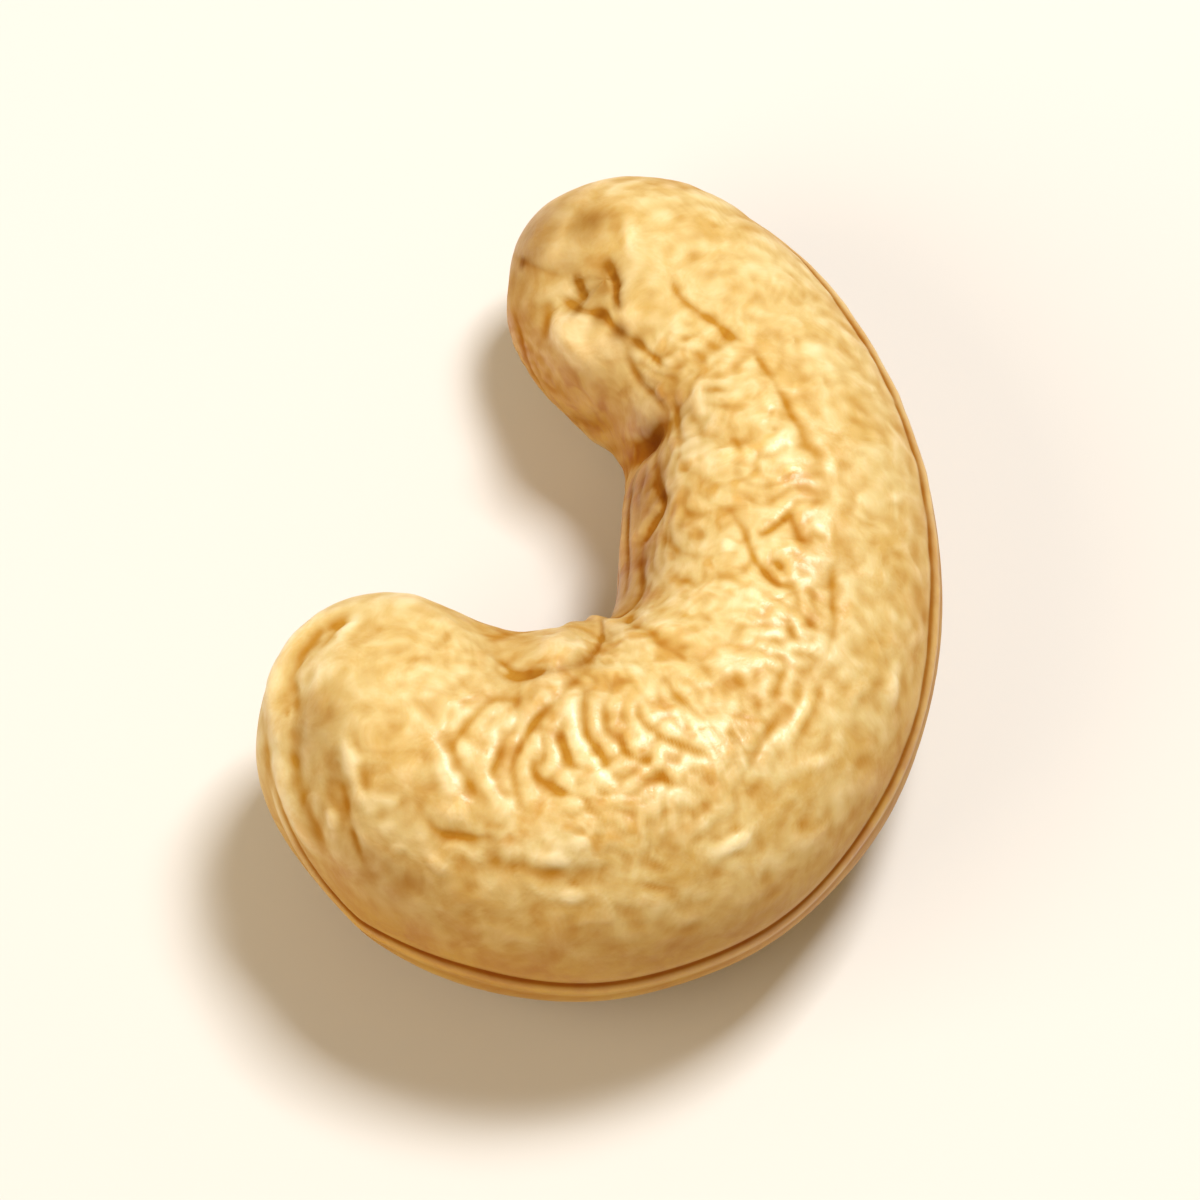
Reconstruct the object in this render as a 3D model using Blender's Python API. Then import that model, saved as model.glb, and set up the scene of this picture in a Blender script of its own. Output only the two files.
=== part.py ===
"""A whole cashew kernel lying on its flank: one solid, with its seam, tip folds and creases.

Run with: blender --background --python part.py, or from Blender's text editor.
"""

import math

import bmesh
import bpy
import numpy as np
from mathutils import Vector, noise

MM = 0.001
DEGREE = math.pi / 180

# Ten places along the spine, from the slim tip round to the broad tip: x and y seen from
# above, the breadth outward and inward of the bend, and half the height.
SPINE = np.array([
    (-2.4, 11.6, 3.6, 3.3, 3.6),
    (-0.2, 10.8, 4.0, 3.6, 3.9),
    (2.8, 9.1, 4.2, 4.0, 4.3),
    (5.2, 5.6, 4.3, 4.6, 4.8),
    (6.1, 0.8, 4.6, 5.3, 5.0),
    (5.4, -3.9, 4.9, 5.5, 5.2),
    (2.7, -7.1, 5.7, 5.2, 5.5),
    (-1.5, -8.1, 5.9, 4.8, 5.6),
    (-5.9, -6.7, 5.3, 5.1, 5.5),
    (-10.6, -6.0, 4.1, 5.8, 5.1),
]) * MM
SLIM_CAP = 4.9 * MM
BROAD_CAP = 4.8 * MM
CAP_BLUNTNESS = 2.1
SECTION_SQUARENESS = 2.15

# How far the seam between the two halves climbs above the widest line, at the same ten
# places: on the outer edge, then on the inner edge.
SEAM_LIFT = np.array([
    (-95, 30),
    (-25, 36),
    (28, 46),
    (36, 44),
    (30, 36),
    (20, 34),
    (6, 30),
    (2, 56),
    (2, 60),
    (-8, -25),
]) * DEGREE

# Each tip's pole, where the halves meet, leans over from the end of the spine: how far,
# toward which side of the section (90 degrees is up), and over what radius.
SLIM_LEAN = 66 * DEGREE, 105 * DEGREE, 3.7 * MM
BROAD_LEAN = 37 * DEGREE, 90 * DEGREE, 5.2 * MM

# The crack along the whole seam, and on the outside the lower half's rim standing proud beside it.
CRACK_WIDTH, CRACK_DEPTH = 0.24 * MM, 0.13 * MM
RIM_WIDTH, RIM_RISE = 0.5 * MM, 0.12 * MM

# The valley along the inner seam, deepest in the bend.
VALLEY_WIDTH, VALLEY_DEPTH = 0.95 * MM, 0.45 * MM

# The pit at the slim tip, the puckers round it, and the two swellings beside it.
PIT_WIDTH, PIT_DEPTH = 0.75 * MM, 0.75 * MM
PUCKERS, PUCKER_DEPTH = 5, 0.16 * MM

# The long crease that parts the wrinkled inner flank from the smooth outer band: how far
# along it is from the slim tip, and at what angle, on the upper half then the lower half.
CREASE_ALONG = np.array([0, 4, 8, 14.5, 19, 24.5, 31.5, 36, 41, 46]) * MM
CREASE_UPPER = np.array([135, 128, 121, 89, 68, 68, 73, 66, 50, 40]) * DEGREE
CREASE_LOWER = np.array([60, 66, 80, 92, 84, 70, 66, 78, 70, 60]) * DEGREE
CREASE_WIDTH, CREASE_DEPTH = 0.45 * MM, 0.15 * MM

# Folds that fan out of the bend across the flank, and the slow swells of the whole skin.
FOLD_SPACING, FOLD_DEPTH = 1.35 * MM, 0.26 * MM
SWELL_SPACING, SWELL_DEPTH = 4.5 * MM, 0.3 * MM

# Swellings and dents: how far along, at what angle, how wide each way, and how high.
DABS = np.array([
    (35.8, -168, 1.8, 34, -0.22),
    (10.6, -168, 1.3, 16, -0.35),
    (3.6, -140, 2.6, 32, 0.3),
    (1.9, 60, 1.5, 50, 0.12),
    (39.5, 30, 2.0, 22, -0.14),
    (33.0, 66, 3.5, 9, -0.16),
    (42.0, 120, 3.0, 40, 0.16),
])

# The lower half's lip fills the corner of the bend: where, how wide, and how far it is pushed.
LIP_AT = np.array([-0.5, -4.0, 6.8]) * MM
LIP_WIDTH = 2.0 * MM
LIP_PUSH = np.array([-0.15, 0.85, 0.1]) * MM

# Three low places that the kernel stands on, seen from above, with the flat each one wears.
FEET = np.array([(2.6, 9.2), (5.1, -5.0), (-6.2, -6.6)]) * MM
FOOT_WIDTH, FOOT_CLEARANCE, FOOT_FLAT = 3.0 * MM, 0.4 * MM, 0.2 * MM

# Mesh lines: ribs run from tip to tip, rings go round the kernel.
RIBS = 70
RINGS = 74


def through(knots, values, at):
    """Reads a natural cubic spline through the values at the knots."""
    gaps = np.diff(knots)
    slopes = np.diff(values) / gaps
    count = len(knots)
    system = np.eye(count)
    turns = np.zeros(count)
    for row in range(1, count - 1):
        before, after = gaps[row - 1], gaps[row]
        system[row, row - 1 : row + 2] = before, 2 * (before + after), after
        turns[row] = 6 * (slopes[row] - slopes[row - 1])
    curve = np.linalg.solve(system, turns)
    span = np.clip(np.searchsorted(knots, at, side="right") - 1, 0, count - 2)
    gap, done, left = gaps[span], at - knots[span], knots[span + 1] - at
    bulge = curve[span] * left**3 + curve[span + 1] * done**3
    start = values[span] / gap - curve[span] * gap / 6
    end = values[span + 1] / gap - curve[span + 1] * gap / 6
    return bulge / (6 * gap) + start * left + end * done


def hump(distance, width):
    return np.exp(-((distance / width) ** 2))


def ramp(value, low, high):
    """Rises smoothly from 0 at the low value to 1 at the high one."""
    share = np.clip((value - low) / (high - low), 0, 1)
    return share * share * (3 - 2 * share)


KNOTS = np.concatenate([[0], np.cumsum(np.hypot(*np.diff(SPINE[:, :2], axis=0).T))])
SPINE_LENGTH = KNOTS[-1]


def cap(depth, length):
    """How full the section is at a depth in from a tip, from 0 at the tip to 1."""
    share = 1 - np.clip(depth / length, 0, 1)
    return (1 - share**CAP_BLUNTNESS) ** (1 / CAP_BLUNTNESS)


def fullness(along):
    return cap(along, SLIM_CAP) * cap(SPINE_LENGTH - along, BROAD_CAP)


# Walking over the top from tip to tip spaces the rings evenly, round the tips too.
WALK = SPINE_LENGTH * (1 - np.cos(np.linspace(0, math.pi, 2000))) / 2
TOP = fullness(WALK) * through(KNOTS, SPINE[:, 4], WALK)
WALKED = np.concatenate([[0], np.cumsum(np.hypot(np.diff(WALK), np.diff(TOP)))])
WAY = WALKED[-1]


def body(walked, angle):
    """The plain kernel's points. The angle is 0 at its outer edge and 90 degrees on top."""
    along = np.interp(walked, WALKED, WALK)
    x, y, outer, inner, height = (through(KNOTS, column, along) for column in SPINE.T)
    step = 0.05 * MM
    ahead = [
        through(KNOTS, SPINE[:, axis], np.minimum(along + step, SPINE_LENGTH))
        - through(KNOTS, SPINE[:, axis], np.maximum(along - step, 0))
        for axis in (0, 1)
    ]
    across, up = np.cos(angle), np.sin(angle)
    power = SECTION_SQUARENESS
    reach = fullness(along) * (abs(across) ** power + abs(up) ** power) ** (-1 / power)
    out = np.where(across > 0, outer, inner) * reach * across / np.hypot(*ahead)
    return np.stack([x - ahead[1] * out, y + ahead[0] * out, height * (1 + reach * up)], axis=-1)


def leaned(depth, angle, lean):
    """Slides mesh lines over a tip so that they meet away from the end of the spine."""
    tilt, toward, radius = lean
    polar = math.pi * (1 - np.exp(-depth / radius / math.pi))
    side = np.sin(polar) * np.cos(angle - toward)
    other = np.sin(polar) * np.sin(angle - toward)
    out = np.cos(polar)
    turn = tilt * ((1 + out) / 2) ** 1.5
    side, out = side * np.cos(turn) + out * np.sin(turn), out * np.cos(turn) - side * np.sin(turn)
    polar = np.arctan2(np.hypot(side, other), out)
    return -radius * math.pi * np.log(1 - polar / math.pi), np.arctan2(other, side) + toward


def placed(walked, angle):
    """The kernel's points from its mesh lines. The seam is at the angles 0 and 180 degrees."""
    knots = np.interp(KNOTS, WALK, WALKED)
    outer, inner = (through(knots, column, walked) for column in SEAM_LIFT.T)
    angle = angle + outer * (1 + np.cos(angle)) / 2 - inner * (1 - np.cos(angle)) / 2
    walked, angle = leaned(walked, angle, SLIM_LEAN)
    depth, angle = leaned(WAY - walked, angle, BROAD_LEAN)
    place = body(WAY - depth, angle)
    from_lip = np.linalg.norm(place - LIP_AT, axis=-1)
    return place + LIP_PUSH * hump(from_lip, LIP_WIDTH)[..., None]


def rough(points, seed):
    """Soft noise between about -1 and 1 with one swell to each unit of distance."""
    return np.array([noise.noise(Vector(point) + Vector((seed, 0, 0))) for point in points])


def relief(walked, angle, place, facing):
    """How far the skin stands out from the plain body, for points that face a direction."""
    girth = fullness(np.interp(walked, WALKED, WALK)) * 4.9 * MM
    bend = ramp(walked, 7 * MM, 13 * MM) * ramp(WAY - walked, 5 * MM, 13 * MM)
    span = abs(angle)

    from_seam = girth * np.sin(angle)
    on_outside = (1 + np.cos(angle)) / 2
    skin = RIM_RISE * on_outside * hump(from_seam + RIM_WIDTH, RIM_WIDTH)
    skin -= CRACK_DEPTH * hump(from_seam, CRACK_WIDTH)
    open_valley = (1 - on_outside) * ramp(walked, 0, 4 * MM) * (0.45 + 0.55 * bend)
    skin -= VALLEY_DEPTH * open_valley * hump(from_seam, VALLEY_WIDTH)

    skin -= PIT_DEPTH * hump(walked, PIT_WIDTH)
    skin -= PUCKER_DEPTH * np.cos(PUCKERS * angle + 0.6) * hump(walked - 1.5 * MM, 1.0 * MM)

    crease_at = np.where(
        angle > 0,
        np.interp(walked, CREASE_ALONG, CREASE_UPPER),
        np.interp(walked, CREASE_ALONG, CREASE_LOWER),
    )
    wander = 0.35 * rough(place / (2.5 * MM), 11) * MM
    broken = 0.5 + 0.9 * rough(place / (3 * MM), 17)
    skin -= CREASE_DEPTH * broken * hump((span - crease_at) * girth + wander, CREASE_WIDTH)

    wrinkled = ramp(span, crease_at - 0.25, crease_at + 0.35) * ramp(walked, 2 * MM, 7 * MM)
    wrinkled *= ramp(WAY - walked, 3 * MM, 11 * MM)
    drift = 0.7 * rough(place / (3.2 * MM), 5)
    fan = np.stack([walked / FOLD_SPACING + drift, np.cos(angle), np.sin(angle)], axis=-1)
    skin += FOLD_DEPTH * wrinkled * (1 - 0.85 * ramp(span, 2.4, 2.9)) * rough(fan, 23)
    skin += SWELL_DEPTH * (0.35 + 0.65 * wrinkled) * rough(place / SWELL_SPACING, 37)

    for along, at, length, width, height in DABS:
        turn = np.angle(np.exp(1j * (angle - at * DEGREE)))
        skin += height * MM * hump(walked - along * MM, length * MM) * hump(turn, width * DEGREE)

    apart = [np.hypot(*(place[:, :2] - foot).T) for foot in FEET]
    skin -= FOOT_CLEARANCE * ramp(-facing[:, 2], 0.6, 1) * (1 - hump(np.min(apart, axis=0), FOOT_WIDTH))
    return skin


def settled(place):
    """Stands the points on their three feet and wears each foot flat at zero height."""
    lows = []
    for foot in FEET:
        near = np.hypot(*(place[:, :2] - foot).T) < FOOT_WIDTH
        lows.append(place[near][np.argmin(place[near, 2])])
    up = Vector(np.cross(lows[0] - lows[1], lows[2] - lows[1]))
    up = up if up.z > 0 else -up
    place = place @ np.array(up.rotation_difference(Vector((0, 0, 1))).to_matrix()).T
    place[:, 2] = np.maximum(place[:, 2] - place[:, 2].min() - FOOT_FLAT, 0)
    place[:, :2] -= (place[:, :2].min(axis=0) + place[:, :2].max(axis=0)) / 2
    return place


def make_kernel():
    shape = bmesh.new()
    bmesh.ops.create_uvsphere(shape, u_segments=RIBS, v_segments=RINGS, radius=1)
    ball = np.array([point.co for point in shape.verts])
    walked = WAY * np.arccos(np.clip(-ball[:, 2], -1, 1)) / math.pi
    angle = np.arctan2(ball[:, 1], ball[:, 0])
    angle = angle - np.sin(2 * angle) / 4
    place = placed(walked, angle)
    for point, spot in zip(shape.verts, place):
        point.co = spot
    shape.normal_update()
    facing = np.array([point.normal for point in shape.verts])
    place = place + facing * relief(walked, angle, place, facing)[:, None]

    place = settled(place)
    for point, spot in zip(shape.verts, place):
        point.co = spot
    mesh = bpy.data.meshes.new("kernel")
    shape.to_mesh(mesh)
    shape.free()
    mesh.shade_smooth()
    kernel = bpy.data.objects.new("kernel", mesh)
    collection = bpy.data.collections.new("cashew_nut")
    bpy.context.scene.collection.children.link(collection)
    collection.objects.link(kernel)
    return kernel


def give_material(kernel):
    """Pale ivory flesh with a dull, slightly oily surface."""
    material = bpy.data.materials.new("cashew_kernel")
    material.use_nodes = True
    shader = material.node_tree.nodes["Principled BSDF"]
    shader.inputs["Base Color"].default_value = (0.79, 0.56, 0.25, 1)
    shader.inputs["Roughness"].default_value = 0.45
    kernel.data.materials.append(material)


for old in list(bpy.data.objects):
    bpy.data.objects.remove(old, do_unlink=True)
give_material(make_kernel())
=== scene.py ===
import math

import bmesh
import bpy
import numpy as np
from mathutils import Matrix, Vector, noise


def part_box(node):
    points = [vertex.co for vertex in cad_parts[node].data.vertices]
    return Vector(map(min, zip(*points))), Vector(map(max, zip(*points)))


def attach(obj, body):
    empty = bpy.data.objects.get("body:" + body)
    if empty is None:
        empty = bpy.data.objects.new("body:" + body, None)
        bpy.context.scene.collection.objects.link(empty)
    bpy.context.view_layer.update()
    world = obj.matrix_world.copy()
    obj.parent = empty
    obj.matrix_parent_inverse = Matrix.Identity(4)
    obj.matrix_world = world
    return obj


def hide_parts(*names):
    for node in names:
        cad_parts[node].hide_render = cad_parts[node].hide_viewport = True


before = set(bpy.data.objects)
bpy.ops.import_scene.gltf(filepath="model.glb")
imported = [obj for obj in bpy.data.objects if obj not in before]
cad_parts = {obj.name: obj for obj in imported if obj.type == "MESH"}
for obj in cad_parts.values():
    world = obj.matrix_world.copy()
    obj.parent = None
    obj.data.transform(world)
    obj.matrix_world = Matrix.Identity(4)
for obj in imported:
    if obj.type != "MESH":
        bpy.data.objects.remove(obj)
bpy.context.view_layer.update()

# Kernel, its bare form: a curved seed of two fleshy halves that grew face to face, bent
# round like a comma. It is drawn as rings threaded on a spine that runs from the slim tip
# to the broad tip, all sizes in millimetres until the last step.
MM = 0.001
DEGREE = math.pi / 180

# x and y seen from above, breadth outward and inward of the bend, and half the height. The
# first four columns and the lengths of both caps come from a least squares fit to the outline
# in the photograph, rounded to a tenth of a millimetre. The half heights were chosen.
spine = np.array([
    (-2.4, 11.6, 3.6, 3.3, 3.6),
    (-0.2, 10.8, 4.0, 3.6, 3.9),
    (2.8, 9.1, 4.2, 4.0, 4.3),
    (5.2, 5.6, 4.3, 4.6, 4.8),
    (6.1, 0.8, 4.6, 5.3, 5.0),
    (5.4, -3.9, 4.9, 5.5, 5.2),
    (2.7, -7.1, 5.7, 5.2, 5.5),
    (-1.5, -8.1, 5.9, 4.8, 5.6),
    (-5.9, -6.7, 5.3, 5.1, 5.5),
    (-10.6, -6.0, 4.1, 5.8, 5.1),
])
slim_cap, broad_cap = 4.9, 4.8
cap_bluntness = 2.1
section_squareness = 2.15

# How far the seam between the halves climbs above the widest line, outside then inside.
seam_lift = DEGREE * np.array([
    (-95, 30),
    (-25, 36),
    (28, 46),
    (36, 44),
    (30, 36),
    (20, 34),
    (6, 30),
    (2, 56),
    (2, 60),
    (-8, -25),
])

# How far each tip's pole leans over from the end of the spine, toward which side of the
# section (90 degrees is up), and over what radius.
slim_lean = 66 * DEGREE, 105 * DEGREE, 3.7
broad_lean = 37 * DEGREE, 90 * DEGREE, 5.2

# The lower half's lip swells into the corner of the bend: where, how wide, and how far.
lip_at, lip_width, lip_push = (-0.5, -4.0, 6.8), 2.0, np.array([-0.15, 0.85, 0.1])
stations = np.concatenate([[0], np.cumsum(np.hypot(*np.diff(spine[:, :2], axis=0).T))])
spine_length = stations[-1]


def through(knots, values, at):
    """Reads a natural cubic spline through the values at the knots."""
    gaps = np.diff(knots)
    slopes = np.diff(values) / gaps
    count = len(knots)
    system = np.eye(count)
    turns = np.zeros(count)
    for row in range(1, count - 1):
        before, after = gaps[row - 1], gaps[row]
        system[row, row - 1 : row + 2] = before, 2 * (before + after), after
        turns[row] = 6 * (slopes[row] - slopes[row - 1])
    curve = np.linalg.solve(system, turns)
    span = np.clip(np.searchsorted(knots, at, side="right") - 1, 0, count - 2)
    gap, done, left = gaps[span], at - knots[span], knots[span + 1] - at
    bulge = curve[span] * left**3 + curve[span + 1] * done**3
    start = values[span] / gap - curve[span] * gap / 6
    end = values[span + 1] / gap - curve[span + 1] * gap / 6
    return bulge / (6 * gap) + start * left + end * done


def hump(distance, width):
    return np.exp(-((distance / width) ** 2))


def ramp(value, low, high):
    """Rises smoothly from 0 at the low value to 1 at the high one."""
    share = np.clip((value - low) / (high - low), 0, 1)
    return share * share * (3 - 2 * share)


def rough(points, seed):
    """Soft noise between about -1 and 1 with one swell to each unit of distance."""
    shift = Vector((seed, 0, 0))
    return np.array([noise.noise(Vector(point) + shift) for point in points])


def fullness(along):
    """How full the section is, from 0 at each rounded tip to 1."""
    slim = 1 - np.clip(along / slim_cap, 0, 1)
    broad = 1 - np.clip((spine_length - along) / broad_cap, 0, 1)
    return ((1 - slim**cap_bluntness) * (1 - broad**cap_bluntness)) ** (1 / cap_bluntness)


# Rings are spaced evenly by walking over the top of the kernel from tip to tip.
walk = spine_length * (1 - np.cos(np.linspace(0, math.pi, 2000))) / 2
top = fullness(walk) * through(stations, spine[:, 4], walk)
steps = np.concatenate([[0], np.cumsum(np.hypot(np.diff(walk), np.diff(top)))])
way = steps[-1]


def leaned(depth, angle, tilt, toward, radius):
    """Slides rings over a tip so that they close where the halves meet, not at its end."""
    polar = math.pi * (1 - np.exp(-depth / radius / math.pi))
    side = np.sin(polar) * np.cos(angle - toward)
    other = np.sin(polar) * np.sin(angle - toward)
    out = np.cos(polar)
    turn = tilt * ((1 + out) / 2) ** 1.5
    side, out = (
        side * np.cos(turn) + out * np.sin(turn),
        out * np.cos(turn) - side * np.sin(turn),
    )
    polar = np.arctan2(np.hypot(side, other), out)
    return -radius * math.pi * np.log(1 - polar / math.pi), np.arctan2(other, side) + toward


def placed(walked, angle):
    """Points of the bare form: the seam is at the angles 0, outside, and 180 degrees."""
    outer, inner = (through(np.interp(stations, walk, steps), lift, walked) for lift in seam_lift.T)
    angle = angle + outer * (1 + np.cos(angle)) / 2 - inner * (1 - np.cos(angle)) / 2
    walked, angle = leaned(walked, angle, *slim_lean)
    depth, angle = leaned(way - walked, angle, *broad_lean)
    along = np.interp(way - depth, steps, walk)
    x, y, outward, inward, height = (through(stations, column, along) for column in spine.T)
    step = 0.05
    ahead = [
        through(stations, spine[:, axis], np.minimum(along + step, spine_length))
        - through(stations, spine[:, axis], np.maximum(along - step, 0))
        for axis in (0, 1)
    ]
    across, up = np.cos(angle), np.sin(angle)
    square = section_squareness
    reach = fullness(along) * (abs(across) ** square + abs(up) ** square) ** (-1 / square)
    out = np.where(across > 0, outward, inward) * reach * across / np.hypot(*ahead)
    place = np.stack([x - ahead[1] * out, y + ahead[0] * out, height * (1 + reach * up)], axis=-1)
    from_lip = np.linalg.norm(place - lip_at, axis=-1)
    return place + lip_push * hump(from_lip, lip_width)[..., None]


ribs, rings = 240, 414
kernel_shape = bmesh.new()
bmesh.ops.create_uvsphere(kernel_shape, u_segments=ribs, v_segments=rings, radius=1)
ball = np.array([point.co for point in kernel_shape.verts])
polar = np.arccos(np.clip(-ball[:, 2], -1, 1))
turned = np.arctan2(ball[:, 1], ball[:, 0])
walked = way * polar / math.pi
# The flank on top is the more wrinkled one, so its lines lie closer.
angle = turned + 0.2 * np.cos(turned) - 0.06 * np.sin(2 * turned)
angle = np.angle(np.exp(1j * angle))
place = placed(walked, angle)
for point, spot in zip(kernel_shape.verts, place):
    point.co = spot
kernel_shape.normal_update()
facing = np.array([point.normal for point in kernel_shape.verts])
girth = 4.9 * fullness(np.interp(walked, steps, walk))
span = abs(angle)

# Kernel, its seam and tips: the halves meet in a hair crack all the way round. Outside, the
# lower half's rim stands proud of it; inside the bend it lies in a valley. At the slim tip
# the germ left a pit with puckers round it.
crack_width = 0.2
rim_rise, rim_width, rim_drop = 0.075, 0.38, 0.42
valley_depth, valley_width = 0.22, 1.1
pit_depth, pit_width = 0.15, 0.9
puckers, pucker_depth = 5, 0.05
on_outside = (1 + np.cos(angle)) / 2
from_seam = girth * np.sin(angle)
from_rim = girth * np.sin(angle + 26 * DEGREE * ramp(walked, 31, 38) * on_outside)
bend = ramp(walked, 7, 13) * ramp(way - walked, 5, 13)
round_broad_tip = ramp(walked + 1.5 * on_outside, 39, 40.5)
outer = np.interp(walked, [0, 3, 8, 24, 30, 36, 41], [0, 0, 0.06, 0.06, 0.09, 0.08, 0])
inner = np.interp(
    walked, [0, 3, 6, 11, 20, 26, 34, 37], [0, 0.02, 0.05, 0.01, 0.01, 0.04, 0.04, 0]
)
skin = rim_rise * on_outside * ramp(walked, 3, 9) * ramp(way - walked, 1, 4)
skin *= hump(from_rim + rim_drop, rim_width)
cut = (inner + (outer - inner) * on_outside) * hump(from_rim, crack_width)
skin -= cut
open_valley = (1 - on_outside) * ramp(walked, 1, 5) * (0.45 + 0.55 * bend)
open_valley *= ramp(way - walked, 5, 9)
skin -= valley_depth * open_valley * hump(from_seam, valley_width)
skin += round_broad_tip * (0.14 * hump(from_seam + 0.6, 0.5) - 0.12 * hump(from_seam - 0.15, 0.4))
skin -= pit_depth * hump(walked, pit_width)
skin -= pucker_depth * np.cos(puckers * angle + 0.6) * hump(walked - 1.5, 1.0)

# Kernel, its folds and swellings: broad folds fan out of the bend where the flesh was
# squeezed as it grew, and the tips and the outer band stay smoother.
fold_depth, fold_spacing = 0.09, 1.35
swell_depth, swell_spacing = 0.3, 4.5
# Where the wrinkled inner flank gives way to the smooth outer band: how far along, and at
# what angle on the upper half, then on the lower half.
border_along = [0, 4, 8, 14.5, 19, 24.5, 31.5, 36, 41, 46]
border_at = DEGREE * np.where(
    angle > 0,
    np.interp(walked, border_along, [135, 128, 121, 89, 68, 68, 73, 66, 50, 40]),
    np.interp(walked, border_along, [60, 66, 80, 92, 84, 70, 66, 78, 70, 60]),
)
wrinkled = ramp(span, border_at - 0.25, border_at + 0.35) * ramp(walked, 1, 5)
wrinkled *= ramp(way - walked, 3, 11)
drift = 0.7 * rough(place / 3.2, 5)
fan = np.stack([walked / fold_spacing + drift, np.cos(angle), np.sin(angle)], axis=-1)
skin += fold_depth * wrinkled * (1 - 0.85 * ramp(span, 2.4, 2.9)) * rough(fan, 23)
skin += swell_depth * (0.35 + 0.65 * wrinkled) * rough(place / swell_spacing, 37)

# The upper side is slightly uneven all over, and its smoother skin is scuffed.
on_top = ramp(facing[:, 2], 0, 0.6)
skin += on_top * (0.05 * rough(place / 1.3, 51) + 0.03 * rough(place / 0.55, 61))
chips = ramp(rough(place / 1.2, 97), -0.05, 0.2) * hump(rough(place / 1.6, 91), 0.2)
skin += 0.025 * on_top * (1 - 0.8 * wrinkled) * ramp(walked, 2, 5) * chips

# Swellings and dents: how far along, at what angle, how wide each way, and how high.
off_tips = ramp(walked, 0, 1.5) * ramp(way - walked, 0, 1.5)
for along, at, length, width, height in (
    (35.8, -168, 1.8, 34, -0.22),
    (10.6, -168, 1.3, 16, -0.35),
    (3.6, -140, 2.6, 32, 0.3),
    (1.9, 60, 1.5, 50, 0.12),
    (39.5, 30, 2.0, 22, -0.14),
    (33.0, 66, 3.5, 9, -0.08),
    (42.0, 120, 3.0, 40, 0.16),
    (3.3, 20, 3.0, 50, 0.42),
    (3.2, -5, 2.0, 40, 0.3),
    (2.6, -125, 1.3, 32, 0.2),
    (38.3, -162, 2.2, 30, 0.42),
    (41.5, -150, 1.6, 60, 0.25),
    (3.8, -75, 2.2, 35, 0.3),
    (36.8, -38, 4.5, 34, -0.4),
    (31.0, -25, 5.0, 30, -0.15),
    (25.5, -15, 3.5, 30, -0.2),
    (30.5, -166, 3.0, 24, 0.5),
    (26.0, -172, 1.6, 22, 0.4),
    (33.2, -170, 2.2, 26, 0.55),
    (1.9, -130, 0.8, 28, 0.1),
):
    turn = np.angle(np.exp(1j * (angle - at * DEGREE)))
    skin += height * hump(walked - along, length) * hump(turn, width * DEGREE) * off_tips
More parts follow.
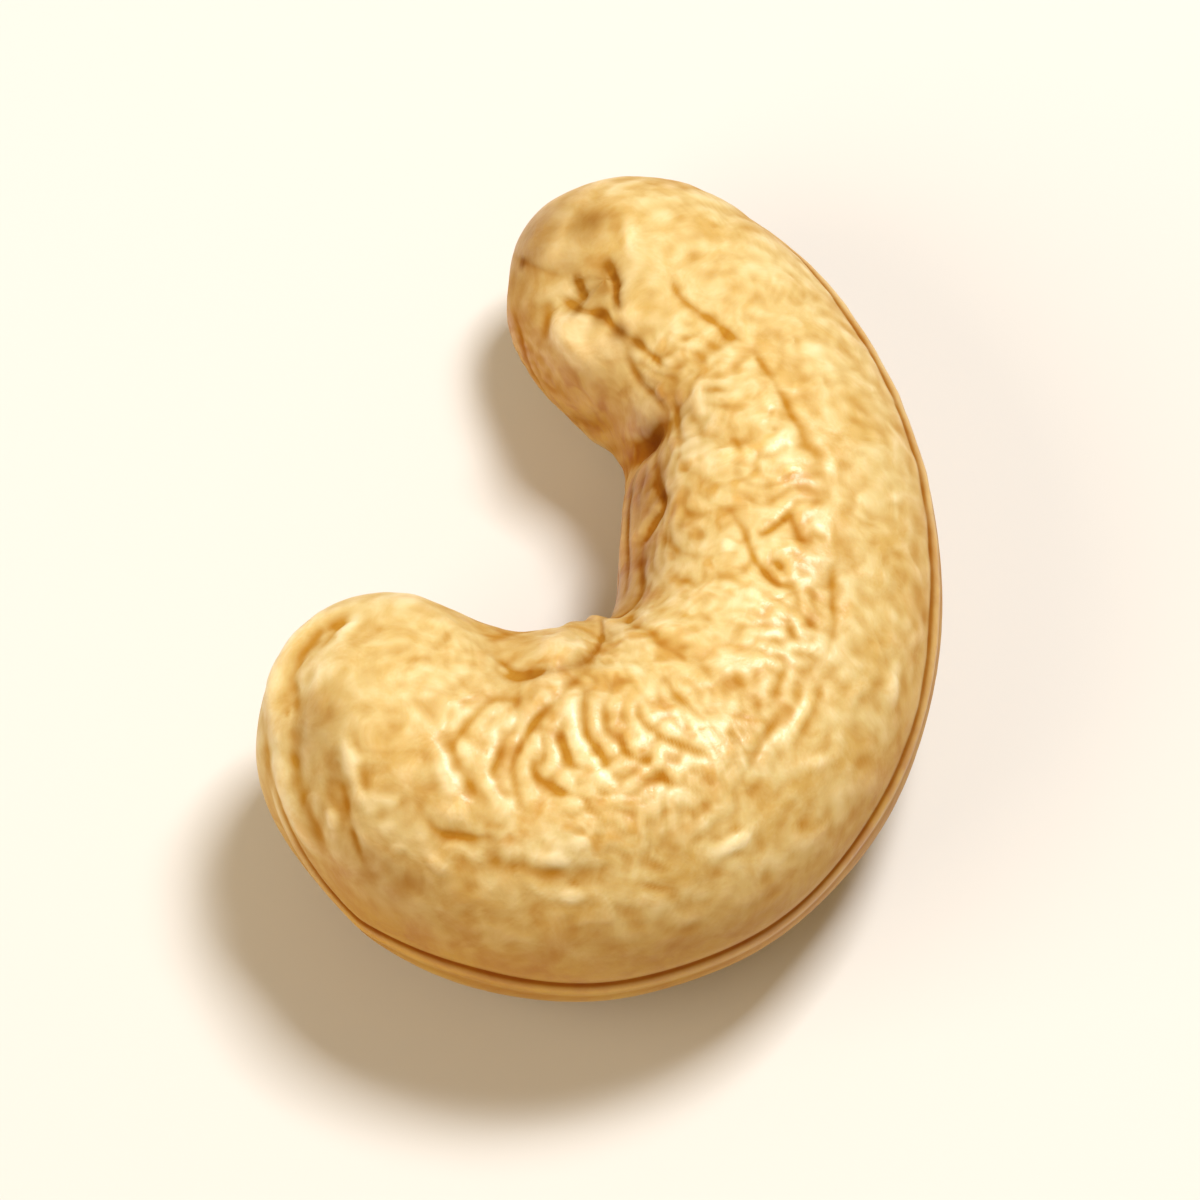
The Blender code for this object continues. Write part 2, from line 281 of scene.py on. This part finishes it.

# Creases, and ridges where the depth is below 0: width and depth, then the places each one
# runs through, as how far along the kernel and at what angle round it. A ridge gets its full
# height and a crease a share of its depth, with its floor rounded. The places were picked on
# the photograph, and many were turned from pixels into these units by a program.
crease_share, crease_floor = 0.42, 0.08
creased = np.zeros(len(place))
for width, depth, *points in (
    (0.11, 0.12, (2.1, 121), (2.4, 129), (3.5, 132), (5.6, 129.5), (7.0, 127.5), (8.0, 121)),
    (0.22, 0.10, (9.2, 119), (9.8, 115), (10.8, 115)),
    (0.25, 0.13, (11.6, 108), (12.4, 102), (13.6, 95)),
    (0.12, 0.04, (8.8, 118), (10.7, 110), (12.4, 100), (13.9, 90), (15.0, 80)),
    (0.15, -0.03, (9.0, 122), (10.8, 114), (12.5, 104), (14.0, 94)),
    (0.25, 0.08, (10.1, 84), (10.3, 90), (10.7, 97)),
    (0.25, 0.07, (9.5, 62), (9.7, 57), (11.0, 62)),
    (0.15, 0.08, (10.0, 154), (10.7, 145)),
    (0.15, 0.06, (11.4, 150), (11.8, 144)),
    (0.18, 0.16, (2.1, 184), (3.0, 172), (4.8, 166), (5.8, 168)),
    (0.18, 0.45, (0.7, 352), (0.7, 316), (0.8, 264)),
    (0.15, 0.45, (0.5, 76), (0.2, 114), (0.5, 168), (1.1, 177)),
    (0.17, 0.32, (1.2, 304), (1.2, 268), (1.2, 216), (1.4, 196), (2.1, 182)),
    (0.16, 0.10, (2.9, 344), (1.9, 350), (1.0, 350)),
    (0.30, 0.10, (2.9, 310), (3.3, 278), (4.3, 260), (5.3, 250)),
    (0.20, 0.45, (10.0, 184), (10.5, 192), (11.0, 202)),
    (0.22, 0.5, (14.0, 183), (15.4, 175), (16.2, 179), (16.9, 184)),
    (0.14, 0.16, (11.2, 200), (14.8, 196), (17.4, 192), (20.0, 190)),
    (0.14, 0.16, (11.0, 216), (13.6, 207), (16.5, 202), (19.5, 200)),
    (0.16, 0.12, (12.4, 191), (13.4, 190), (14.4, 190)),
    (0.16, 0.12, (17.6, 186), (19.0, 182), (20.8, 180)),
    (0.25, -0.08, (11.5, 208), (14.5, 201), (17.5, 197)),
    (0.22, 0.20, (23.6, 172), (24.6, 167), (25.4, 164)),
    (0.20, 0.16, (35.8, 184), (35.1, 178), (33.9, 180), (33.0, 182)),
    (0.22, -0.10, (33.4, 180), (32.0, 187), (30.1, 186)),
    (0.18, 0.08, (8.9, 173), (10.0, 174), (11.3, 173), (12.4, 169)),
    (0.18, 0.08, (11.0, 165), (12.2, 160), (13.4, 155)),
    (0.30, 0.16, (9.0, 209), (10.2, 199), (11.3, 189), (13.0, 184), (15.5, 175)),
    (0.16, 0.10, (13.5, 141), (14.5, 135)),
    (0.15, 0.07, (12.7, 118), (12.9, 112)),
    (0.15, 0.07, (13.6, 116), (13.8, 110)),
    (0.18, 0.08, (14.3, 167), (14.6, 161), (15.2, 154)),
    (0.18, 0.09, (16.2, 162), (16.8, 158), (17.1, 150)),
    (0.20, 0.08, (17.6, 170), (18.7, 161), (19.3, 150)),
    (0.20, 0.08, (20.3, 159), (20.8, 153), (21.4, 146)),
    (0.25, 0.12, (24.2, 165), (25.3, 162), (25.3, 152), (25.6, 145)),
    (0.17, 0.14, (17.0, 139), (18.3, 130), (19.5, 124), (20.3, 116), (20.7, 108), (20.6, 96)),
    (0.17, 0.16, (18.2, 123), (18.4, 118), (17.8, 106), (17.8, 101), (18.7, 95)),
    (0.14, 0.10, (19.6, 113), (20.1, 106)),
    (0.18, 0.09, (18.3, 88), (18.5, 80), (18.6, 73)),
    (0.20, 0.11, (19.6, 70), (20.8, 69), (21.6, 66), (22.4, 66)),
    (0.17, 0.09, (23.4, 64), (24.2, 64), (25.3, 64.5)),
    (0.25, 0.10, (22.2, 94), (22.7, 88)),
    (0.20, 0.09, (23.6, 87), (24.8, 84)),
    (0.20, 0.08, (24.9, 77), (26.2, 77), (27.2, 73)),
    (0.15, 0.07, (23.1, 136), (23.6, 127)),
    (0.22, 0.05, (16.1, 37), (16.4, 44), (17.0, 50), (17.4, 42), (17.5, 33)),
    (0.25, 0.06, (23.0, 36), (22.7, 28), (22.3, 18)),
    (0.18, 0.10, (27.4, 137), (27.5, 121), (27.3, 107)),
    (0.20, 0.14, (29.5, 140), (29.2, 127), (28.6, 112), (27.9, 97)),
    (0.16, 0.14, (30.3, 138), (30.3, 130), (29.9, 120), (29.5, 116)),
    (0.15, 0.09, (29.4, 107), (29.0, 95)),
    (0.18, 0.16, (31.4, 170), (31.7, 150), (31.4, 140), (31.1, 130)),
    (0.15, 0.11, (32.7, 151), (32.5, 143), (32.2, 135)),
    (0.16, 0.12, (33.4, 138), (33.5, 131), (32.7, 123), (31.8, 115), (31.5, 107), (30.9, 94)),
    (
        0.22, 0.16, (28.2, 182), (30.1, 178), (31.8, 174), (32.7, 168), (33.7, 160),
        (34.1, 147), (34.3, 134), (33.9, 118), (33.3, 106),
    ),
    (0.14, 0.09, (34.9, 140), (34.9, 128), (34.8, 113)),
    (
        0.20, 0.13, (34.7, 164), (35.7, 156), (36.3, 140), (36.6, 120), (36.4, 109),
        (35.3, 103), (34.8, 96),
    ),
    (0.16, 0.06, (37.1, 114), (37.3, 102)),
    (0.22, 0.13, (33.8, 82), (34.3, 74), (35.2, 66), (36.1, 69)),
    (0.30, 0.13, (35.9, 21), (37.2, 24), (38.6, 31), (39.3, 36), (40.3, 46)),
    (0.16, 0.09, (29.2, 48), (29.9, 56)),
    (0.16, 0.09, (31.2, 58), (31.5, 63)),
    (0.18, 0.07, (32.0, 45), (32.2, 53)),
    (0.20, 0.12, (39.9, 176), (40.3, 168), (40.9, 159)),
    (0.20, 0.12, (33.6, 181), (34.5, 178), (35.8, 173)),
    (0.24, -0.07, (37.3, 104), (36.3, 96), (35.3, 90), (34.6, 82)),
    (0.24, -0.06, (35.3, 128), (34.9, 112), (33.9, 104)),
    (0.24, -0.06, (33.2, 146), (32.5, 128), (31.5, 106)),
    (0.24, -0.06, (31.8, 150), (31.5, 132), (30.8, 114)),
    (0.24, -0.07, (30.1, 132), (29.9, 116)),
    (0.24, -0.07, (40.4, 60), (39.4, 48), (38.0, 42)),
    (0.24, -0.06, (28.4, 56), (27.2, 52)),
    (0.24, -0.06, (23.4, 48), (22.4, 42)),
    (0.28, -0.10, (31.6, 77), (32.4, 75)),
    (0.28, -0.10, (33.6, 66), (34.4, 65)),
    (0.25, -0.08, (34.8, 83), (35.4, 82)),
    (0.25, -0.08, (30.9, 54), (31.5, 54)),
    (0.30, -0.10, (38.4, 16), (39.2, 20)),
    (0.25, -0.08, (39.4, 52), (40.0, 58)),
    (0.25, -0.07, (34.1, 50), (34.8, 50)),
    (0.35, -0.08, (21.7, 24), (22.4, 26)),
    (0.50, -0.08, (18.7, 104), (19.3, 104)),
    (0.25, -0.08, (24.1, 68), (25.5, 68)),
    (0.22, -0.07, (24.3, 42), (24.9, 49), (25.4, 56)),
    (0.25, -0.08, (28.3, 71), (28.8, 69)),
    (0.25, -0.08, (27.3, 54), (27.8, 54)),
    (0.25, -0.08, (7.0, 175), (8.5, 178)),
    (0.25, -0.08, (9.5, 161), (11.0, 161)),
    (0.25, -0.08, (14.0, 145), (14.5, 145)),
    (0.30, -0.07, (1.3, 90), (1.7, 78), (2.3, 69)),
    (0.40, -0.16, (1.6, 282), (1.9, 246), (2.3, 222), (3.2, 205)),
    (0.25, -0.08, (18.5, 137), (19.3, 137)),
):
    points = np.array(points)
    knots = np.arange(len(points))
    share = np.linspace(0, len(points) - 1, 12 * len(points))
    line = placed(*(through(knots, column, share) for column in (points * (1, DEGREE)).T))
    near = np.all((place > line.min(axis=0) - 1) & (place < line.max(axis=0) + 1), axis=1)
    gaps = np.linalg.norm(place[near, None] - line, axis=-1)
    fade = np.sin(math.pi * (0.06 + 0.88 * gaps.argmin(axis=1) / (len(line) - 1))) ** 0.6
    gaps = gaps.min(axis=1)
    if depth < 0:
        skin[near] -= depth * fade * hump(gaps, width)
        continue
    flank = np.exp((crease_floor - np.hypot(gaps, crease_floor)) / width)
    skin[near] -= crease_share * depth * fade * flank
    creased[near] = np.maximum(creased[near], fade * hump(gaps, 0.15))

# The three feet it lies on, and the hollow under the rest of it.
foot_width, foot_clearance, foot_flat = 3.0, 0.4, 0.2
feet = np.array([(2.6, 9.2), (5.1, -5.0), (-6.2, -6.6)])
apart = np.min([np.hypot(*(place[:, :2] - foot).T) for foot in feet], axis=0)
skin -= foot_clearance * ramp(-facing[:, 2], 0.6, 1) * (1 - hump(apart, foot_width))

# Kernel, its fine wrinkles: as it dried, the skin buckled into rounded ridges with sharper
# creases between them, which fork, curl round and follow the larger creases. Real ones are
# as close as 0.3 mm. These are about 0.5 mm apart, the closest that the mesh can carry.
ridge_height = 0.036
# The fewest mesh steps to a ridge, how many times the blur's reach it is wide, and the
# smallest gap between mesh lines that is reckoned with.
steps_per_ridge = 3.6
blurs_per_ridge = 5.7
closest = 0.045
row = np.rint(polar / math.pi * rings).astype(int)
pole = (row == 0) | (row == rings)
column = np.rint((turned - turned[~pole][0]) / (2 * math.pi) * ribs).astype(int) % ribs


def spread_out(values):
    """Lays the kernel's points out as a sheet, ring by ring."""
    sheet = np.zeros((rings + 1, ribs) + values.shape[1:])
    sheet[row[~pole], column[~pole]] = values[~pole]
    sheet[0] = values[row == 0]
    sheet[rings] = values[row == rings]
    return sheet


net = spread_out(place)
ring_gap = np.maximum(np.linalg.norm(np.diff(net, axis=0), axis=-1), closest)
rib_gap = np.maximum(np.linalg.norm(np.roll(net, -1, axis=1) - net, axis=-1), closest)


def blurred(field, reach, stretch=1, lean=0):
    """Spreads a field over the surface by a reach in millimetres, further by the stretch
    along lines that lean from the ribs by an angle."""
    spreads = (reach, stretch, lean)
    reach, stretch, lean = (np.broadcast_to(value, field.shape) for value in spreads)
    more = stretch**2 - 1
    flows = [
        reach**2 * (1 + more * np.sin(lean) ** 2) / 2,
        reach**2 * (1 + more * np.cos(lean) ** 2) / 2,
        reach**2 * more * np.sin(lean) * np.cos(lean) / 2,
    ]
    # The blur stays steady while a turn moves less than a quarter of each difference.
    steady = 0.24
    strongest = max((flows[0][:-1] / ring_gap**2).max(), (flows[1] / rib_gap**2).max())
    turns = int(np.ceil(strongest / steady))
    along, round_it, skew = (flow / turns for flow in flows)
    skewed = np.any(skew)
    for _ in range(turns):
        rise = np.diff(field, axis=0) / ring_gap
        turn = (np.roll(field, -1, axis=1) - field) / rib_gap
        between_rings = along[:-1] * rise
        between_ribs = round_it * turn
        if skewed:
            beside = (turn + np.roll(turn, 1, axis=1)) / 2
            between_rings = between_rings + skew[:-1] * (beside[:-1] + beside[1:]) / 2
            beside = np.zeros_like(field)
            beside[1:-1] = (rise[1:] + rise[:-1]) / 2
            between_ribs = between_ribs + skew * (beside + np.roll(beside, -1, axis=1)) / 2
        between_rings, between_ribs = between_rings / ring_gap, between_ribs / rib_gap
        field = field + between_ribs - np.roll(between_ribs, 1, axis=1)
        field[:-1] += between_rings
        field[1:] -= between_rings
    return field


# Ridges lean one way on the slim arm, fan out round the bend and lean the other way past it.
inward = ramp(span, 1.1, 1.6)
lean = inward * (-0.8 + 1.25 * ramp(walked, 20, 28))
lean += (1 - inward) * (0.2 + 0.6 * ramp(walked, 14, 22))
lean -= inward * ramp(walked, 31.5, 34.5) * ramp(span, 2.0, 2.4)
lean += 1.1 * rough(place / 2.4, 81)
fanned = wrinkled * hump(walked - 31, 6) * ramp(span, 1.3, 1.9)
widths = (0.6 - 0.14 * wrinkled) * (1 + 0.15 * rough(place / 2.0, 71))
fields = widths, 1.6 + 0.4 * fanned, lean * np.sign(angle), creased
spacing, stretch, lean, pressed = (spread_out(values) for values in fields)
mesh_step = np.maximum(rib_gap, np.pad(ring_gap, ((0, 1), (0, 0)), "edge"))
blur = np.maximum(spacing, steps_per_ridge * mesh_step) / blurs_per_ridge

# The ridges are grown: noise on the rings and ribs is blurred, sharpened and blurred again
# until ridges of one width are left.
ridges = np.random.default_rng(3).normal(size=(rings + 1, ribs))
for _ in range(12):
    soft = blurred(ridges, blur, stretch, lean)
    ridges = soft - blurred(soft, blur * 1.25, stretch, lean)
    ridges = np.tanh(1.6 * ridges / ridges.std() - 1.2 * pressed)
ridges = blurred(ridges, 0.08)[row, column]
patchy = ramp(rough(place / 3.0, 41), -0.5, 0.3)
shrunk = (0.25 + 0.75 * wrinkled) * ramp(walked, 1, 4) * ramp(way - walked, 1, 6)
raised = shrunk * (0.4 + 0.6 * patchy)
raised *= 1 - on_outside * hump(from_seam, 1.3)
below = ramp(-np.sin(angle), -0.15, 0.1) * ramp(-np.cos(angle), 0.3, 0.8)
raised *= 1 - (0.9 - 0.5 * hump(walked - 15, 5)) * below
raised *= 1 - 0.7 * hump(walked - 26, 2.5) * ramp(span, 2.5, 2.9)
skin += ridge_height * raised * (1 - ((1 - ridges) / 2) ** 1.5)

# How hollow each point is, beside the skin a quarter of a millimetre off, then 0.8 mm off.
sheet = spread_out(skin)
hollow = (blurred(sheet, 0.25) - sheet) / 0.025 + (blurred(sheet, 0.8) - sheet) / 0.3
hollow = hollow[row, column]

# Stains and painted shade: brown spots round the germ pit and the slim tip, where browned skin
# stayed, and darker patches painted as shade on the wall of the bay, on the flank where it
# curves down to the lip, along the furrow and beside the groove at the broad tip: how far along,
# at what angle, how wide and how strong. Their places were found as those of the creases were.
stain_and_shade = np.zeros(len(place))
for along, at, reach, strength in (
    (0.7, 345, 0.33, 0.8),
    (0.7, 316, 0.33, 0.8),
    (0.7, 285, 0.33, 0.8),
    (0.4, 76, 0.33, 0.7),
    (0.25, 110, 0.33, 0.8),
    (0.4, 155, 0.33, 0.8),
    (0.7, 173, 0.33, 0.8),
    (1.0, 177, 0.33, 0.7),
    (0.5, 260, 0.9, 0.75),
    (0.9, 20, 0.8, 0.5),
    (41.6, 50, 1.3, 0.6),
    (40.4, 40, 1.0, 0.45),
    (35.5, 30, 2.3, 0.35),
    (36.0, 90, 1.0, 0.15),
    (33.5, 69, 1.3, 0.2),
    (31.5, 73, 1.2, 0.2),
    (29.3, 78, 1.3, 0.15),
    (26.5, 78, 1.3, 0.12),
    (19.5, 74, 1.3, 0.12),
    (22.5, 70, 1.3, 0.12),
    (1.2, 250, 0.3, 0.9),
    (1.3, 205, 0.35, 0.9),
    (2.1, 183, 0.35, 0.9),
    (3.0, 173, 0.3, 0.5),
    (1.7, 50, 0.8, 0.85),
    (2.2, 348, 0.3, 1.0),
    (2.2, 14, 1.2, 0.9),
    (7.6, 174, 0.9, 0.35),
    (10.4, 168, 1.2, 0.4),
    (12.4, 160, 0.9, 0.35),
    (10.6, 192, 1.0, 1.0),
    (15.0, 177, 0.5, 1.0),
    (14.0, 188, 1.6, 0.9),
    (15.5, 176, 1.2, 0.6),
    (18.5, 180, 2.0, 0.7),
    (25.2, 162, 0.8, 0.35),
    (30.5, 178, 0.7, 0.3),
    (33.5, 176, 2.0, 0.25),
    (35.5, 66, 1.5, 0.15),
    (39.5, 30, 2.0, 0.15),
):
    spot = placed(np.array([along]), np.array([at * DEGREE]))
    stain_and_shade = np.maximum(stain_and_shade, strength * hump(np.linalg.norm(place - spot, axis=-1), reach))

# The skin is raised along its normals, then the kernel is stood on its feet, worn flat.
place = place + facing * skin[:, None]
lows = []
for foot in feet:
    near = np.hypot(*(place[:, :2] - foot).T) < foot_width
    lows.append(place[near][np.argmin(place[near, 2])])
up = Vector(np.cross(lows[0] - lows[1], lows[2] - lows[1]))
up = up if up.z > 0 else -up
place = place @ np.array(up.rotation_difference(Vector((0, 0, 1))).to_matrix()).T
place[:, 2] = np.maximum(place[:, 2] - place[:, 2].min() - foot_flat, 0)
low, high = (np.array(corner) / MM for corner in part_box("kernel"))
place[:, :2] += (low + high)[:2] / 2 - (place[:, :2].min(axis=0) + place[:, :2].max(axis=0)) / 2
for point, spot in zip(kernel_shape.verts, place * MM):
    point.co = spot
kernel_mesh = bpy.data.meshes.new("kernel_flesh")
kernel_shape.to_mesh(kernel_mesh)
kernel_shape.free()
kernel_mesh.shade_smooth()
kernel = bpy.data.objects.new("kernel_flesh", kernel_mesh)
bpy.context.scene.collection.objects.link(kernel)

# Painted shade: skin that faces sideways is given a darker, more golden tint, which fades again
# below.
side = ramp(-facing[:, 2], -0.85, 0) * (1 - 0.6 * ramp(-facing[:, 2], 0.1, 0.7))
side *= 1 - hump(walked - 41, 3.6)
for name, values in (
    ("hollow", np.clip(0.5 + 0.25 * hollow - 0.04 * wrinkled, 0, 1)),
    ("crack", cut / 0.13),
    ("stain_and_shade", stain_and_shade),
    ("side", side),
    ("wrinkled", shrunk),
):
    layer = kernel_mesh.attributes.new(name, "FLOAT", "POINT")
    layer.data.foreach_set("value", values.astype(np.float32))


def linear(colour):
    """Turns an sRGB hex colour into linear values."""
    parts = [int(colour[at : at + 2], 16) / 255 for at in (1, 3, 5)]
    parts = [part / 12.92 if part <= 0.04045 else ((part + 0.055) / 1.055) ** 2.4 for part in parts]
    return parts + [1]


def add(tree, kind, settings=None, **links):
    """Adds a node, sets its properties and sockets, and links its inputs."""
    node = tree.nodes.new(kind)
    for name, value in (settings or {}).items():
        if name in node.inputs:
            node.inputs[name].default_value = value
        else:
            setattr(node, name, value)
    for name, source in links.items():
        tree.links.new(source, node.inputs[name])
    return node


# Raw cashew flesh, dried and rubbed free of its brown skin: waxy and faintly oily, so light
# sinks a millimetre or so into it and the ridges keep a soft gloss. Widths in millimetres.
patch_width = 1 / 0.7
swirl_width = 1 / 1.2
grain_width = 1 / 3.8
flesh = bpy.data.materials.new("raw_cashew_flesh")
flesh.use_nodes = True
tree = flesh.node_tree
shader = tree.nodes["Principled BSDF"]
# The base colour follows how hollow the skin is. Hollows, creases and valleys are golden brown,
# partly the flesh's own tone and partly painted shade. Raised skin is pale cream, partly painted
# highlight.
hollows = add(tree, "ShaderNodeAttribute", {"attribute_name": "hollow"})
tone_shade_and_highlight = add(tree, "ShaderNodeValToRGB", Fac=hollows.outputs["Fac"])
for share, tone in ((0.1, "#f3e4b8"), (0.5, "#dcc588"), (0.9, "#bd8c34")):
    stop = tone_shade_and_highlight.color_ramp.elements.new(share)
    stop.color = linear(tone)
for end in (0, -1):
    tone_shade_and_highlight.color_ramp.elements.remove(tone_shade_and_highlight.color_ramp.elements[end])
colour = tone_shade_and_highlight.outputs["Color"]
places = add(tree, "ShaderNodeTexCoord")
patches = add(
    tree,
    "ShaderNodeTexNoise",
    {"Scale": 1 / (patch_width * MM), "Detail": 4, "Roughness": 0.62, "Distortion": 0.5},
    Vector=places.outputs["Object"],
)
golden = add(
    tree, "ShaderNodeMapRange", {"From Min": 0.62, "From Max": 0.36}, Value=patches.outputs["Fac"]
)

# Dips too fine for the mesh, as a tint and a bump, where the skin is wrinkled. The darker tint
# in them is partly the flesh's own tone in its creases and partly painted shade.
swirls = add(
    tree,
    "ShaderNodeTexNoise",
    {"Scale": 1 / (swirl_width * MM), "Detail": 1, "Roughness": 0.5, "Distortion": 0.5},
    Vector=places.outputs["Object"],
)
dips = add(
    tree, "ShaderNodeMapRange", {"From Min": 0.5, "From Max": 0.3}, Value=swirls.outputs["Fac"]
)
wrinkles = add(tree, "ShaderNodeAttribute", {"attribute_name": "wrinkled"})
fine = add(tree, "ShaderNodeMath", {"operation": "MULTIPLY"})
tree.links.new(dips.outputs["Result"], fine.inputs[0])
tree.links.new(wrinkles.outputs["Fac"], fine.inputs[1])
side_shade = add(tree, "ShaderNodeAttribute", {"attribute_name": "side"})
crack = add(tree, "ShaderNodeAttribute", {"attribute_name": "crack"})
stain_and_shade_node = add(tree, "ShaderNodeAttribute", {"attribute_name": "stain_and_shade"})
# Tints multiplied into the colour: random golden patches, the fine dips (partly painted shade),
# painted shade on skin that faces sideways, the hair crack, and stains with painted shade.
for where, tint in (
    (golden.outputs["Result"], "#f0deb8"),
    (fine.outputs["Value"], "#edd6a6"),
    (side_shade.outputs["Fac"], "#dfb94a"),
    (crack.outputs["Fac"], "#b98a4c"),
    (stain_and_shade_node.outputs["Fac"], "#b4923c"),
):
    mixed = add(tree, "ShaderNodeMix", {"data_type": "RGBA", "blend_type": "MULTIPLY"})
    tree.links.new(where, mixed.inputs[0])
    tree.links.new(colour, mixed.inputs[6])
    mixed.inputs[7].default_value = linear(tint)
    colour = mixed.outputs[2]
tree.links.new(colour, shader.inputs["Base Color"])
grain = add(
    tree,
    "ShaderNodeTexNoise",
    {"Scale": 1 / (grain_width * MM), "Detail": 2},
    Vector=places.outputs["Object"],
)
grained = add(
    tree, "ShaderNodeBump", {"Strength": 0.5, "Distance": 0.00004}, Height=grain.outputs["Fac"]
)
dented = add(
    tree,
    "ShaderNodeBump",
    {"invert": True, "Strength": 0.5, "Distance": 0.00003},
    Height=fine.outputs["Value"],
    Normal=grained.outputs["Normal"],
)
tree.links.new(dented.outputs["Normal"], shader.inputs["Normal"])

# Raised skin is rubbed smooth, and hollows stay dull.
rubbed = add(
    tree,
    "ShaderNodeMapRange",
    {"From Min": 0.35, "From Max": 0.75, "To Min": 0.36, "To Max": 0.75},
    Value=hollows.outputs["Fac"],
)
tree.links.new(rubbed.outputs["Result"], shader.inputs["Roughness"])
gloss = add(
    tree,
    "ShaderNodeMapRange",
    {"From Min": 0.4, "From Max": 0.8, "To Min": 0.5, "To Max": 0.05},
    Value=hollows.outputs["Fac"],
)
tree.links.new(gloss.outputs["Result"], shader.inputs["Specular IOR Level"])
shader.inputs["IOR"].default_value = 1.46
shader.inputs["Subsurface Weight"].default_value = 0.25
shader.inputs["Subsurface Radius"].default_value = (1.0, 0.75, 0.4)
shader.inputs["Subsurface Scale"].default_value = 0.0008
kernel_mesh.materials.append(flesh)
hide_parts("kernel")
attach(kernel, "root")

# Floor: a plain pale sheet of matt paper that the kernel lies on, wide enough that no edge
# of it shows.
floor_shape = bmesh.new()
bmesh.ops.create_grid(floor_shape, x_segments=1, y_segments=1, size=1.5)
floor_mesh = bpy.data.meshes.new("floor")
floor_shape.to_mesh(floor_mesh)
floor_shape.free()
floor = bpy.data.objects.new("floor", floor_mesh)
bpy.context.scene.collection.objects.link(floor)
paper = bpy.data.materials.new("matt_white_paper")
paper.use_nodes = True
shader = paper.node_tree.nodes["Principled BSDF"]
shader.inputs["Base Color"].default_value = linear("#dedcd9")
shader.inputs["Roughness"].default_value = 0.8
floor_mesh.materials.append(paper)

# Light: one soft box high at the back right, a weak fill from the left, and a pale room
# around them. Each lamp's place and width are in metres and its power in watts.
for name, spot, size, power, tint in (
    ("key", (0.16, 0.18, 0.54), 0.16, 3.45, "#ffffff"),
    ("fill", (-0.40, -0.20, 0.34), 0.40, 1.45, "#fff0d6"),
):
    lamp = bpy.data.lights.new(name, "AREA")
    lamp.size = size
    lamp.energy = power
    lamp.color = linear(tint)[:3]
    holder = bpy.data.objects.new(name, lamp)
    holder.location = spot
    holder.rotation_euler = (-Vector(spot)).to_track_quat("-Z", "Y").to_euler()
    bpy.context.scene.collection.objects.link(holder)
room = bpy.data.worlds.new("room")
room.use_nodes = True
glow = room.node_tree.nodes["Background"]
glow.inputs["Color"].default_value = linear("#ffe4ba")
glow.inputs["Strength"].default_value = 0.35
bpy.context.scene.world = room
bpy.context.scene.view_settings.view_transform = "Standard"

# Camera: 64 degrees above level, 0.6 metres off, looking along +Y.
camera = bpy.data.objects.new("camera", bpy.data.cameras.new("camera"))
camera.data.lens = 576
camera.data.sensor_width = 36
elevation, distance = 64 * DEGREE, 0.6
aim = Vector((0, -0.00035, 0.0045))
back = Vector((0, -math.cos(elevation), math.sin(elevation)))
camera.location = aim + back * distance
camera.rotation_euler = (-back).to_track_quat("-Z", "Y").to_euler()
bpy.context.scene.collection.objects.link(camera)
bpy.context.scene.camera = camera
